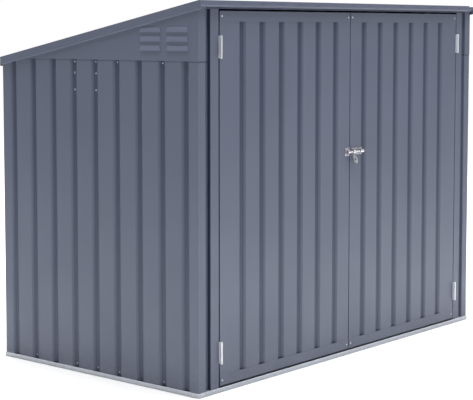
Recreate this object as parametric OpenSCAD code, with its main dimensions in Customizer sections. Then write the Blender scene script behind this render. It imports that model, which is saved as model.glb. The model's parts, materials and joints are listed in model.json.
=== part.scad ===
// Bin store: a low pent-roofed cupboard of ribbed steel sheet with a pair of front doors.
// Millimetres. +X is to the right and the doors face -Y, with +Z up.
// The origin is on the ground, under the middle of the whole store.

/* [Body] */
// Width over the outer faces of the side walls
body_w = 1730; // [1400:5:2400]
// Depth from the front of the posts to the outer face of the back wall
body_d = 986; // [800:2:1400]
// Height of the roof's front top edge above the ground
roof_front_z = 1345; // [1250:1:1700]
// Fall of the roof for each unit of depth
roof_fall = 0.2; // [0.12:0.01:0.22]
// Height of the back end of the left gable panel
gable_end_h = 1.7; // [1:0.1:10]

/* [Sheet] */
// Thickness of the sheet that the walls, the roof and the trims are folded from
sheet_t = 1; // [0.6:0.1:1.2]
// Distance from one pressed groove to the next
rib_pitch = 108.5; // [90:0.5:130]
// Width of a groove at the face of the sheet
rib_mouth = 36; // [26:1:44]
// Width of the flat bottom of a groove
rib_floor = 15; // [8:1:20]
// Depth of a groove
rib_depth = 8; // [5:0.5:10]

/* [Base rails] */
// Height of the rails' outer face
rail_h = 16; // [12:1:24]
// How far the rails stand out from the walls
rail_out = 3; // [2:0.5:5]
// Thickness of the rails
rail_t = 1.2; // [0.8:0.1:2]
// Height of the inner leg that the wall sheets are screwed to
rail_leg_h = 40; // [30:1:60]
// Depth of the front threshold rail
sill_d = 30; // [28:1:40]

/* [Posts and header] */
// Width of the flat outer strip of a front post
strip_w = 37; // [30:1:50]
// Width of the deep groove beside the strip
post_groove_w = 25; // [18:1:34]
// Depth of the deep groove
post_groove_d = 12; // [8:1:16]
// Width of a door jamb
jamb_w = 43; // [34:1:56]
// Depth of a door jamb from front to back
jamb_d = 25; // [20:1:27]
// Length of the legs of the angle in each rear corner
corner_leg = 30; // [20:1:34]
// Height of the header that shows under the front trim
header_show = 5; // [3:1:60]
// Depth of the door header from front to back
header_d = 26; // [20:1:40]

/* [Gables] */
// How far a gable panel laps over the wall below it
gable_lap = 20; // [10:1:30]
// Width of the flange along a gable's sloping top
gable_flange = 15; // [10:1:20]
// Width of a louvre
louvre_w = 102; // [60:1:110]
// Height of a louvre
louvre_h = 18; // [14:1:24]
// How far a louvre's hood stands out
louvre_out = 6; // [4:0.5:9]
// Distance from one louvre to the next, up the gable
louvre_pitch = 31.5; // [28:0.5:36]
// Distance between the two columns of louvres
louvre_column_pitch = 125.5; // [120:0.5:160]
// Distance from the front corner to the middle of the first column
louvre_from_corner = 92; // [70:1:120]
// Least height left flat under and over the louvres
louvre_margin = 25; // [12:1:40]
// How far the louvres lie above the middle of the height between the seam and the roof
louvre_lift = 2; // [0:0.5:6]

/* [Roof] */
// Overhang of the roof in front of the posts
front_overhang = 15; // [12:1:30]
// Overhang of the roof behind the back wall
back_overhang = 10; // [6:1:30]
// Overhang of the roof trims beside the walls
side_overhang = 6; // [4:1:20]
// Depth of the side trims' faces
trim_h = 30; // [26:1:50]
// How much deeper the back trim is than the side trims
back_trim_more = 3.5; // [0:0.5:10]
// Depth of the front trim's upright face
front_trim_h = 17; // [10:1:22]
// Height and depth of the front trim's sloping lower edge
front_trim_drip = 6; // [3:1:8]
// How far the side trims stand above the sheet that they hold down
trim_stand = 1; // [0.5:0.5:4]
// Width of the trims' lips on top of the roof
trim_lip = 24; // [15:1:30]
// How much lower the strip along the roof sheet's right edge and its side trim lie
underlap_drop = 4; // [2:0.5:6]
// Flat left free on the lowered strip beside the side trim's lip
underlap_clear = 4; // [2:0.5:20]

/* [Doors] */
// Gap between a door and its jamb, and between the two doors
door_gap = 5; // [5:0.5:8]
// Gap over and under the doors
door_clear = 6; // [5:0.5:10]
// Distance from a door's hinged edge to the middle of its first groove
door_rib_start = 121; // [100:1:140]
// Least width of flat sheet between a door's last groove and its stile
door_rib_clear = 5; // [2:1:20]
// Height of the flat rails at a door's top and bottom
door_rail_h = 37; // [30:1:60]
// Depth of a door's frame behind the face of its sheet
door_frame_d = 21; // [16:1:24]
// Width of the stiles behind a door's upright edges
stile_w = 30; // [20:1:40]

/* [Hinges] */
// Length of a hinge
hinge_len = 76; // [50:1:100]
// Distance from a door's top edge to the middle of its upper hinge
hinge_from_top = 123; // [60:1:250]
// Distance from a door's bottom edge to the middle of its lower hinge
hinge_from_foot = 117; // [60:1:250]
// How far the pins stand in front of the posts
hinge_out = 10; // [8:0.5:14]
// Outer radius of a knuckle
knuckle_r = 3.5; // [3:0.25:4.5]
// Radius of a hinge pin
pin_r = 1.5; // [1:0.25:2]
// Thickness of a hinge leaf
leaf_t = 1.5; // [1:0.1:2]
// How far a leaf reaches back from the face of the posts
leaf_reach = 17; // [12:1:19]

/* [Bolt] */
// Height of the bolt
bolt_z = 783; // [600:1:1000]
// Height of the bolt's base plate
plate_h = 27; // [26:1:44]
// Height of the keep
keep_h = 31; // [28:1:44]
// Thickness of the base plate and of the keep
plate_t = 2; // [1.5:0.25:3]
// Distance from the middle of the store to the base plate
plate_from_seam = 8; // [6:1:12]
// Radius of the bolt
bolt_r = 4; // [3:0.25:4.5]
// How far the bolt's axis stands in front of the doors' faces
bolt_out = 9; // [8.5:0.25:12]
// Width of the narrow guide at the near end of the base plate
guide_w = 5; // [4:0.5:8]
// Length of the long guide that the bolt slides back through
long_guide_l = 21; // [14:1:30]
// Radius of the round top of a guide
guide_r = 7; // [6:0.25:8]
// Width of the keep's loop along the bolt
keep_loop_w = 12; // [8:0.5:14]
// Travel of the bolt, from drawn back to home in the keep
bolt_travel = 28; // [24:1:34]
// Width of the eye of the hanging handle
handle_w = 25; // [18:1:30]
// Distance from the bolt's axis to the lower end of the handle
handle_drop = 45; // [40:1:70]
// Thickness of the handle
handle_t = 2.5; // [2:0.25:3]
// Width of the rim round the hole in the eye
handle_rim = 7; // [5:0.5:8]
// How far the eye leans out from its stem, at the lower end
handle_lean = 10; // [2:0.5:11]

/* [Fits] */
// Radial clearance of a pin or of the bolt in its running bore
running_fit = 0.05; // [0.02:0.01:0.1]
// Radial clearance of the bolt in its keep
keep_fit = 0.8; // [0.4:0.1:1.5]
// Clearance along the pin between two knuckles
knuckle_fit = 0.3; // [0.2:0.05:0.5]
// Clearance where one folded sheet laps over another on the roof's slope
lap_fit = 0.05; // [0.02:0.01:0.2]

/* [Hidden] */

paint = [0.42, 0.44, 0.49];
zinc = [0.80, 0.81, 0.86];
nickel = [0.74, 0.72, 0.70];
$fn = 48;

// A cut runs this far past what it cuts.
over = 1;

// Roof plane. The fall is measured along the depth, from the front top edge.
roof_angle = atan(roof_fall);
roof_run = front_overhang + body_d + back_overhang;
roof_len = roof_run / cos(roof_angle);
function roof_z(y) = roof_front_z - roof_fall * (y + front_overhang);
// Height at depth y of a plane that lies a distance under the roof's top plane.
function under_z(y, depth) = roof_z(y) - depth / cos(roof_angle);

// Layers under the roof's top plane: the trims' lips, the sheet's flats, its grooves.
flats_under = trim_stand + 2 * sheet_t;
grooves_under = flats_under + rib_depth + lap_fit;
// Width of the lowered strip, from the right wall's face.
underlap_w = 2 * sheet_t - side_overhang + trim_lip + underlap_clear;

// The bin store's middle of depth goes to the origin.
front_reach = max(front_overhang + trim_h * sin(roof_angle),
                  bolt_out + handle_lean + handle_t / 2);
origin_y = (front_reach - body_d - back_overhang) / 2;
half_w = body_w / 2;

// Room behind the grooves of a sheet that stands in a rail.
rail_slack = 1.8;
wall_foot_z = rail_t;
rail_w = rail_out + rib_depth + sheet_t + rail_t + rail_slack;

// The level seam runs back to the left gable panel's end in the back corner.
seam_z = under_z(body_d, flats_under) - gable_end_h;

// The front trim hangs from the roof's edge, and the header shows under it.
trim_under = trim_stand - lap_fit;
trim_top_z = under_z(-front_overhang, trim_under);
trim_drip_z = trim_top_z - front_trim_h;
trim_low_z = trim_drip_z - front_trim_drip;
header_z = trim_low_z - header_show;

groove_x = strip_w;
jamb_x = strip_w + post_groove_w;
hinge_x = jamb_x + jamb_w + door_gap / 2;
door_x = jamb_x + jamb_w + door_gap;
door_w = half_w - door_gap / 2 - door_x;
door_low_z = rail_h + door_clear;
door_top_z = header_z - door_clear;
door_h = door_top_z - door_low_z;
door_rib_end = stile_w + rib_mouth / 2 + door_rib_clear;
door_ribs = floor((door_w - door_rib_start - door_rib_end) / rib_pitch) + 1;

// Free height of the gable at the far side of the second column of louvres.
louvre_far_y = louvre_from_corner + louvre_column_pitch + louvre_w / 2;
louvre_room = under_z(louvre_far_y, flats_under) - seam_z;
louvre_rows = floor((louvre_room - louvre_h - 2 * louvre_margin) / louvre_pitch) + 1;
louvre_mid_z = seam_z + louvre_room / 2 + louvre_lift;

// ---- Folded sheet -------------------------------------------------------

function unit(v) = v / norm(v);
function left_of(v) = [-v[1], v[0]];
// Corner i of a path, moved to its left by t with a mitre.
function moved(path, i, t) =
    let (last = len(path) - 1,
         into = unit(path[max(i, 1)] - path[max(i, 1) - 1]),
         out = unit(path[min(i + 1, last)] - path[min(i + 1, last) - 1]),
         a = left_of(into),
         b = left_of(out))
    path[i] + t * (a + b) / (1 + a * b);
// Outline of a sheet of thickness t that lies to the left of a path.
function folded(path, t) =
    concat(path, [for (i = [len(path) - 1 : -1 : 0]) moved(path, i, t)]);

// Path of a ribbed sheet from a to b with grooves at the middles in the list.
function ribbed(a, b, middles) = concat(
    [[a, 0]],
    [for (m = middles)
        for (p = [[-rib_mouth / 2, 0], [-rib_floor / 2, rib_depth],
                  [rib_floor / 2, rib_depth], [rib_mouth / 2, 0]])
            [m + p[0], p[1]]],
    [[b, 0]]);
// Middles of as many grooves as fit between a and b, spread about the centre.
function spread(a, b, margin) =
    let (n = floor((b - a - 2 * margin) / rib_pitch) + 1)
    [for (i = [0 : n - 1]) (a + b) / 2 + (i - (n - 1) / 2) * rib_pitch];

// Extrudes a section drawn in Y and Z along X.
module along_x(from, to)
    translate([from, 0, 0])
        rotate([90, 0, 90])
            linear_extrude(to - from)
                children();
// Extrudes a section drawn in X and Z along Y.
module along_y(from, to)
    translate([0, to, 0])
        rotate([90, 0, 0])
            linear_extrude(to - from)
                children();

// Places what is drawn from the left wall's face and the posts' front.
module from_left()
    translate([-half_w, origin_y, 0])
        children();
module on_left()
    from_left()
        children();
module on_right()
    mirror([1, 0, 0])
        from_left()
            children();
// Places what is drawn in the roof's own plane, with Y down the slope.
module on_roof()
    translate([0, -front_overhang, roof_front_z])
        rotate([-roof_angle, 0, 0])
            children();
// Everything over a plane that lies a distance under the roof's top plane.
module over_roof_plane(depth)
    on_roof()
        translate([-half_w, -body_d, -depth])
            cube([2 * body_w, 3 * body_d, body_d]);

// ---- Base rails -----------------------------------------------------------

// A channel that the wall sheets stand in, with a lip that closes on the sheet.
module wall_channel(length)
    intersection() {
        along_x(-rail_out, length + rail_out)
            polygon(folded([[0, rail_h], [-rail_out, rail_h], [-rail_out, 0],
                            [rail_w - rail_out, 0], [rail_w - rail_out, rail_leg_h]], rail_t));
        mitred(length, rail_w);
    }
// The front rail, closed on top as a sill under the doors.
module sill(length)
    intersection() {
        along_x(-rail_out, length + rail_out)
            polygon(folded([[sill_d - rail_out, 0], [sill_d - rail_out, rail_h],
                            [-rail_out, rail_h], [-rail_out, 0]], rail_t));
        mitred(length, sill_d);
    }
// Plan of a rail whose ends are cut at 45 degrees.
module mitred(length, depth)
    linear_extrude(2 * rail_leg_h)
        polygon([[-rail_out, -rail_out], [length + rail_out, -rail_out],
                 [length + rail_out - depth, depth - rail_out],
                 [depth - rail_out, depth - rail_out]]);

module base_rail_front()
    color(zinc)
        on_left()
            sill(body_w);
module base_rail_side()
    color(zinc)
        mirror([1, -1, 0])
            wall_channel(body_d);
module base_rail_left()
    on_left()
        base_rail_side();
module base_rail_right()
    on_right()
        base_rail_side();
module base_rail_back()
    color(zinc)
        on_left()
            translate([0, body_d, 0])
                mirror([0, 1, 0])
                    wall_channel(body_w);

// ---- Posts ----------------------------------------------------------------

// Outer strip and deep groove of a front post, with a flange behind the side wall.
module front_post()
    color(paint)
        translate([0, 0, rail_h])
            linear_extrude(header_z - rail_h)
                polygon(concat(
                    [[sheet_t, corner_leg], [sheet_t, sheet_t], [0, sheet_t], [0, 0]],
                    [[groove_x, 0], [groove_x, post_groove_d], [jamb_x, post_groove_d],
                     [jamb_x, jamb_d], [jamb_x - sheet_t, jamb_d],
                     [jamb_x - sheet_t, post_groove_d + sheet_t],
                     [groove_x - sheet_t, post_groove_d + sheet_t],
                     [groove_x - sheet_t, sheet_t], [2 * sheet_t, sheet_t],
                     [2 * sheet_t, corner_leg]]));
module front_post_left()
    on_left()
        front_post();
module front_post_right()
    on_right()
        front_post();

// A door jamb is a box folded from sheet, with its lips turned in at the back.
module door_jamb()
    color(paint)
        translate([jamb_x, 0, rail_h])
            linear_extrude(header_z - rail_h)
                polygon(folded([[jamb_w / 3, jamb_d], [0, jamb_d], [0, 0],
                                [jamb_w, 0], [jamb_w, jamb_d], [2 * jamb_w / 3, jamb_d]], sheet_t));
module door_jamb_left()
    on_left()
        door_jamb();
module door_jamb_right()
    on_right()
        door_jamb();

// An angle in the rear corner joins the side wall to the back wall.
module rear_post()
    color(paint)
        difference() {
            translate([sheet_t, body_d - sheet_t, wall_foot_z])
                linear_extrude(seam_z)
                    polygon(folded([[corner_leg, 0], [0, 0], [0, -corner_leg]], sheet_t));
            over_roof_plane(grooves_under);
        }
module rear_post_left()
    on_left()
        rear_post();
module rear_post_right()
    on_right()
        rear_post();

// ---- Walls ----------------------------------------------------------------

// The ribbed side wall runs up behind the gable panel and under the roof.
module side_wall(drop)
    color(paint)
        difference() {
            mirror([1, -1, 0])
                translate([0, 0, wall_foot_z])
                    linear_extrude(seam_z + gable_lap - wall_foot_z)
                        polygon(folded(ribbed(sheet_t, body_d, spread(0, body_d, rib_pitch / 2)),
                                       sheet_t));
            over_roof_plane(flats_under + drop + sheet_t);
        }
module side_wall_left()
    on_left()
        side_wall(0);
module side_wall_right()
    on_right()
        side_wall(underlap_drop);

// Upright leg and lower flange of the rails behind the wall tops, and the side rails'
// distance under the seam.
inner_rail_h = 30;
inner_rail_leg = 20;
inner_rail_drop = 4;

// A rail behind the grooves takes the screws under the seam.
module wall_top_rail()
    color(zinc)
        along_y(corner_leg + sheet_t, body_d - corner_leg - sheet_t)
            translate([rib_depth + sheet_t, seam_z - inner_rail_drop - inner_rail_h])
                polygon(folded([[0, inner_rail_h], [0, 0], [inner_rail_leg, 0]], rail_t));
module wall_top_rail_left()
    on_left()
        wall_top_rail();
module wall_top_rail_right()
    on_right()
        wall_top_rail();

back_rail_y = body_d - rib_depth - sheet_t;
back_rail_low_z = under_z(back_rail_y, grooves_under) - inner_rail_h;

module back_wall()
    color(paint)
        on_left()
            translate([0, body_d, wall_foot_z])
                mirror([0, 1, 0])
                    linear_extrude(under_z(body_d, grooves_under) - wall_foot_z)
                        polygon(folded(ribbed(sheet_t, body_w - sheet_t,
                                              spread(0, body_w, rib_pitch / 2)), sheet_t));

// The rail inside the back wall's top carries the roof's grooves.
module back_top_rail()
    color(zinc)
        on_left()
            along_x(corner_leg + 2 * sheet_t, body_w - corner_leg - 2 * sheet_t)
                polygon(folded([[back_rail_y, back_rail_low_z],
                                [back_rail_y, under_z(back_rail_y, grooves_under)],
                                [back_rail_y - corner_leg,
                                 under_z(back_rail_y - corner_leg, grooves_under)]], rail_t));

// ---- Gables ---------------------------------------------------------------

// Outer form of a pressed louvre, from its lower edge up: it leans out downwards
// between two round ends.
module louvre_form(height)
    translate([0, 0, -louvre_h / 2]) {
        along_y(louvre_out - louvre_w / 2, louvre_w / 2 - louvre_out)
            polygon([[0, 0], [-louvre_out, 0], [0, height]]);
        for (side = [-1, 1])
            translate([0, side * (louvre_w / 2 - louvre_out), 0])
                cylinder(h = height, r1 = louvre_out, r2 = 0);
    }
// The hollow is the same form, moved in by the sheet's thickness.
module louvre_hollow()
    translate([sheet_t, 0, 0])
        louvre_form(louvre_h - sheet_t);
// A hood stands out from the face of the panel and is open under its lower edge.
module louvre_hood()
    difference() {
        louvre_form(louvre_h);
        louvre_hollow();
        translate([0, 0, -over])
            louvre_hollow();
        translate([0, -louvre_w, -louvre_h])
            cube([2 * louvre_out, 2 * louvre_w, 2 * louvre_h]);
    }
module at_louvres()
    for (column = [0, 1], row = [0 : louvre_rows - 1])
        translate([-sheet_t,
                   louvre_from_corner + column * louvre_column_pitch,
                   louvre_mid_z + (row - (louvre_rows - 1) / 2) * louvre_pitch])
            children();

// Back end of a gable panel, where it is as low as the left one at the back corner.
function gable_end_y(drop) = body_d - sheet_t - drop / sin(roof_angle);

// The flat gable panel, with its front edge turned round over the corner post.
module gable_panel(drop)
    color(paint) {
        difference() {
            translate([-sheet_t, -sheet_t, seam_z])
                cube([sheet_t, gable_end_y(drop) + sheet_t, roof_front_z - seam_z]);
            over_roof_plane(flats_under + drop);
            at_louvres()
                louvre_hollow();
        }
        translate([-sheet_t, -sheet_t, seam_z])
            cube([sheet_t + strip_w, sheet_t, trim_drip_z - seam_z]);
        on_roof()
            translate([-sheet_t, 0, -flats_under - drop - sheet_t])
                along_y((front_overhang + sheet_t) / cos(roof_angle),
                        (front_overhang + gable_end_y(drop) - sheet_t) / cos(roof_angle))
                    square([gable_flange, sheet_t]);
        at_louvres()
            louvre_hood();
    }
module gable_panel_left()
    on_left()
        gable_panel(0);
module gable_panel_right()
    on_right()
        gable_panel(underlap_drop);

// ---- Header and roof ------------------------------------------------------

// The header over the doors carries the front of the roof.
module door_header()
    color(paint)
        on_left()
            along_x(2 * sheet_t, body_w - 2 * sheet_t)
                polygon(folded([[header_d, under_z(header_d, grooves_under)],
                                [0, under_z(0, grooves_under)],
                                [0, header_z], [header_d, header_z]], sheet_t));

// The ribbed roof sheet, with its grooves down the slope. Its right edge is the
// lowered strip that a further sheet would lap over.
sheet_gap = 1;
// How far the roof sheet stops short of the outer faces of the front and back trims.
sheet_setback = 3.5;
roof_sheet_from = sheet_t + sheet_gap - side_overhang;
module roof_sheet()
    color(paint)
        on_left()
            on_roof()
                translate([0, 0, -flats_under + sheet_t])
                    along_y(sheet_setback, roof_len - sheet_setback)
                        mirror([0, 1, 0])
                            polygon(folded(concat(
                                ribbed(roof_sheet_from, body_w - underlap_w - underlap_drop,
                                       spread(0, body_w, rib_pitch / 2)),
                                [[body_w - underlap_w, underlap_drop],
                                 [body_w - roof_sheet_from, underlap_drop]]), sheet_t));

// A side trim: an upright face with a hem on top, a lip on the sheet and a return below.
module side_trim()
    color(paint)
        on_roof() {
            along_y(0, roof_len)
                polygon(folded([[-side_overhang, 0], [-side_overhang, -trim_h],
                                [-sheet_t, -trim_h]], sheet_t));
            along_y(2 * sheet_t, roof_len - 2 * sheet_t)
                translate([sheet_t - side_overhang, -trim_stand - sheet_t])
                    square([sheet_t + trim_lip, sheet_t]);
        }
module roof_trim_left()
    on_left()
        side_trim();
module roof_trim_right()
    translate([0, 0, -underlap_drop / cos(roof_angle)])
        on_right()
            side_trim();

trim_from = sheet_t - side_overhang;
lip_from = 2 * sheet_t + trim_lip;
// The right ends of the front and back trims are cut down to the right side trim.
module lowered_end(y, top_z)
    translate([body_w - underlap_w - underlap_drop, y, top_z - underlap_drop])
        cube([body_w, 3 * trim_lip, 2 * underlap_drop]);
module roof_trim_front()
    color(paint)
        on_left()
            difference() {
                union() {
                    along_x(trim_from, body_w - trim_from)
                        polygon(folded([[-front_overhang, trim_top_z],
                                        [-front_overhang, trim_drip_z],
                                        [front_trim_drip - front_overhang, trim_low_z],
                                        [-sheet_t, trim_low_z]], sheet_t));
                    along_x(lip_from, body_w - underlap_w - underlap_drop)
                        polygon(folded([[trim_lip - front_overhang,
                                         under_z(trim_lip - front_overhang, trim_under)],
                                        [-front_overhang, trim_top_z],
                                        [-front_overhang, trim_drip_z]], sheet_t));
                }
                lowered_end(-front_overhang - over, trim_top_z);
            }

back_face_y = body_d + back_overhang;
back_trim_top_z = under_z(back_face_y, trim_under);
back_trim_low_z = roof_z(back_face_y) - trim_h - back_trim_more;
module roof_trim_back()
    color(paint)
        on_left()
            difference() {
                union() {
                    along_x(trim_from, body_w - trim_from)
                        polygon(folded([[body_d + sheet_t, back_trim_low_z],
                                        [back_face_y, back_trim_low_z],
                                        [back_face_y, back_trim_top_z]], sheet_t));
                    along_x(lip_from, body_w - underlap_w - underlap_drop)
                        polygon(folded([[back_face_y, back_trim_low_z + sheet_t],
                                        [back_face_y, back_trim_top_z],
                                        [back_face_y - trim_lip,
                                         under_z(back_face_y - trim_lip, trim_under)]], sheet_t));
                }
                lowered_end(back_face_y - trim_lip, back_trim_top_z);
            }

// ---- Doors ----------------------------------------------------------------

// Places what is drawn from the lower corner of a door's hinged edge.
module in_door()
    translate([door_x, 0, door_low_z])
        children();

module door_panel()
    color(paint)
        in_door()
            translate([0, 0, sheet_t])
                linear_extrude(door_h - 2 * sheet_t)
                    polygon(folded(ribbed(0, door_w,
                        [for (i = [0 : door_ribs - 1]) door_rib_start + i * rib_pitch]), sheet_t));
// A rail is a channel that caps the ends of the ribbed sheet.
module door_bottom_rail()
    color(paint)
        in_door()
            along_x(0, door_w)
                polygon(folded([[-sheet_t, door_rail_h], [-sheet_t, 0],
                                [door_frame_d, 0], [door_frame_d, door_rail_h]], sheet_t));
module door_top_rail()
    translate([0, 0, door_top_z + door_low_z])
        mirror([0, 0, 1])
            door_bottom_rail();
// A stile is a channel behind the sheet, with its back to the door's edge.
module door_stile()
    color(paint)
        in_door()
            translate([0, 0, sheet_t])
                linear_extrude(door_h - 2 * sheet_t)
                    polygon(folded([[stile_w, door_frame_d - sheet_t], [0, door_frame_d - sheet_t],
                                    [0, sheet_t], [stile_w, sheet_t]], sheet_t));
module meeting_stile()
    translate([2 * door_x + door_w, 0, 0])
        mirror([1, 0, 0])
            door_stile();

module left_door_panel()
    on_left()
        door_panel();
module left_door_top_rail()
    on_left()
        door_top_rail();
module left_door_bottom_rail()
    on_left()
        door_bottom_rail();
module left_door_hinge_stile()
    on_left()
        door_stile();
module left_door_meeting_stile()
    on_left()
        meeting_stile();
module right_door_panel()
    on_right()
        door_panel();
module right_door_top_rail()
    on_right()
        door_top_rail();
module right_door_bottom_rail()
    on_right()
        door_bottom_rail();
module right_door_hinge_stile()
    on_right()
        door_stile();
module right_door_meeting_stile()
    on_right()
        meeting_stile();

// ---- Hinges ---------------------------------------------------------------

knuckles = 5;
knuckle_pitch = hinge_len / knuckles;
knuckle_len = knuckle_pitch - knuckle_fit;
leaf_clear = 1;

// Places a hinge of either height, with its pin on the Z axis.
module at_hinges()
    for (z = [door_low_z + hinge_from_foot, door_top_z - hinge_from_top])
        translate([hinge_x, -hinge_out, z - hinge_len / 2])
            children();
// Leaf whose back lies against a face that is half a door gap from the pin.
module leaf(own)
    difference() {
        union() {
            translate([-door_gap / 2, knuckle_r + leaf_clear, 0])
                cube([leaf_t, hinge_out + leaf_reach - knuckle_r - leaf_clear, hinge_len]);
            for (i = own)
                translate([0, 0, i * knuckle_pitch + knuckle_fit / 2]) {
                    cylinder(h = knuckle_len, r = knuckle_r);
                    translate([-door_gap / 2, 0, 0])
                        cube([leaf_t, knuckle_r + leaf_clear + leaf_t, knuckle_len]);
                }
        }
        translate([0, 0, -over])
            cylinder(h = hinge_len + 2 * over, r = pin_r + running_fit);
    }
// The jamb's leaves hold the pins, tight in their own three knuckles.
module jamb_hinge_leaves()
    color(zinc)
        at_hinges() {
            leaf([0, 2, 4]);
            cylinder(h = hinge_len, r = pin_r);
            for (i = [0, 2, 4])
                translate([0, 0, i * knuckle_pitch + knuckle_fit / 2])
                    cylinder(h = knuckle_len, r = pin_r + 2 * running_fit);
        }
module door_hinge_leaves()
    color(zinc)
        at_hinges()
            mirror([1, 0, 0])
                leaf([1, 3]);
module left_jamb_hinge_leaves()
    on_left()
        jamb_hinge_leaves();
module right_jamb_hinge_leaves()
    on_right()
        jamb_hinge_leaves();
module left_door_hinge_leaves()
    on_left()
        door_hinge_leaves();
module right_door_hinge_leaves()
    on_right()
        door_hinge_leaves();

// ---- Bolt -----------------------------------------------------------------

// The handle hangs from a collar on the bolt, between the guides. The base plate is long
// enough for the guides and for the collar's travel between them.
collar_w = 10;
collar_r = guide_r - 0.5;
collar_clear = 1;
guide_inset = 1;
plate_l = guide_w + long_guide_l + bolt_travel + collar_w + 2 * collar_clear + 2 * guide_inset;
first_guide_x = plate_from_seam + guide_inset;
handle_x = first_guide_x + guide_w + collar_clear + collar_w / 2;
long_guide_x = handle_x + collar_w / 2 + bolt_travel + collar_clear;
// The bolt at home in the keep. Drawn back, its end stands just proud of the base plate.
bolt_proud = 2;
bolt_tail = 3;
bolt_end_x = plate_from_seam - bolt_proud - bolt_travel;
bolt_tail_x = long_guide_x + long_guide_l + bolt_tail;
// Keep, with its loop over the bolt's end and its near edge at the edge of its door.
keep_edge = 0.5;
keep_margin = 5;
keep_loop_x = bolt_end_x - keep_loop_w / 3;
keep_x = keep_loop_x - keep_margin;
keep_l = -door_gap / 2 - keep_edge - keep_x;
// Distances below the axis of the eye's two centres and of its top, where the lean starts.
eye_pitch = 3;
eye_low = handle_drop - handle_w / 2;
eye_high = eye_low - eye_pitch;
eye_top = eye_high - handle_w / 2;

// Places what is drawn round the bolt's axis, with X along it from the middle of the store.
module at_bolt()
    translate([0, origin_y - bolt_out, bolt_z])
        children();
// A rod or bore along X from one place to another.
module rod(from, to, r)
    translate([from, 0, 0])
        rotate([0, 90, 0])
            cylinder(h = to - from, r = r);
// A plate against the door's face, with its back on the face of the sheet.
module face_plate(from, length, height)
    translate([from, bolt_out - plate_t, -height / 2])
        cube([length, plate_t, height]);
// An arched strap over the bolt.
module strap(from, width) {
    rod(from, from + width, guide_r);
    translate([from, 0, -guide_r])
        cube([width, bolt_out - plate_t, 2 * guide_r]);
}

module bolt_keep()
    color(nickel)
        at_bolt()
            difference() {
                union() {
                    face_plate(keep_x, keep_l, keep_h);
                    strap(keep_loop_x, keep_loop_w);
                }
                rod(keep_loop_x - over, keep_loop_x + keep_loop_w + over, bolt_r + keep_fit);
            }
module bolt_plate()
    color(nickel)
        at_bolt()
            difference() {
                union() {
                    face_plate(plate_from_seam, plate_l, plate_h);
                    strap(first_guide_x, guide_w);
                    strap(long_guide_x, long_guide_l);
                }
                rod(plate_from_seam - over, plate_from_seam + plate_l + over, bolt_r + running_fit);
            }
module bolt_rod()
    color(nickel)
        at_bolt()
            rod(bolt_end_x, bolt_tail_x, bolt_r);
// Two circles of a radius, one above the other, and what lies between them.
module eye_form(r) {
    for (z = [-eye_low, -eye_high])
        translate([0, z])
            circle(r = r);
    translate([-r, -eye_low])
        square([2 * r, eye_pitch]);
}
// Front view of the handle: an eye on a stem.
module handle_outline()
    difference() {
        union() {
            eye_form(handle_w / 2);
            translate([-collar_w / 2, -eye_high])
                square([collar_w, eye_high]);
        }
        eye_form(handle_w / 2 - handle_rim);
    }
// Side view of the handle: a plate that hangs straight down and then leans out.
module handle_profile()
    translate([-handle_t / 2, 0])
        polygon(folded([[-handle_lean, -handle_drop], [0, -eye_top], [0, 0]], -handle_t));
// The handle hangs from a collar round the bolt, with its eye leaning out.
module bolt_handle()
    color(nickel)
        at_bolt()
            difference() {
                union() {
                    rod(handle_x - collar_w / 2, handle_x + collar_w / 2, collar_r);
                    intersection() {
                        along_x(handle_x - handle_w, handle_x + handle_w)
                            handle_profile();
                        translate([handle_x, handle_t, 0])
                            rotate([90, 0, 0])
                                linear_extrude(handle_lean + 2 * handle_t)
                                    handle_outline();
                    }
                }
                rod(handle_x - collar_w, handle_x + collar_w, bolt_r + running_fit);
            }

base_rail_front();
base_rail_left();
base_rail_right();
base_rail_back();
front_post_left();
front_post_right();
door_jamb_left();
door_jamb_right();
rear_post_left();
rear_post_right();
side_wall_left();
side_wall_right();
back_wall();
gable_panel_left();
gable_panel_right();
wall_top_rail_left();
wall_top_rail_right();
back_top_rail();
door_header();
roof_sheet();
roof_trim_front();
roof_trim_back();
roof_trim_left();
roof_trim_right();
left_jamb_hinge_leaves();
right_jamb_hinge_leaves();
left_door_panel();
left_door_top_rail();
left_door_bottom_rail();
left_door_hinge_stile();
left_door_meeting_stile();
left_door_hinge_leaves();
bolt_keep();
right_door_panel();
right_door_top_rail();
right_door_bottom_rail();
right_door_hinge_stile();
right_door_meeting_stile();
right_door_hinge_leaves();
bolt_plate();
bolt_rod();
bolt_handle();
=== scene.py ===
# %% [markdown]
# # A bin store of ribbed sheet steel
#
# The real object is a low cupboard for two wheeled bins. It is made of thin steel
# sheet: ribbed panels for strength, folded channels round their edges, and a few
# bought-in fittings. The exact model gives every piece its size and place. This file
# dresses that model: it rounds the bends, adds screws and rivets, and paints.

import json
import math

import bmesh
import bpy
from mathutils import Matrix, Vector


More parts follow.
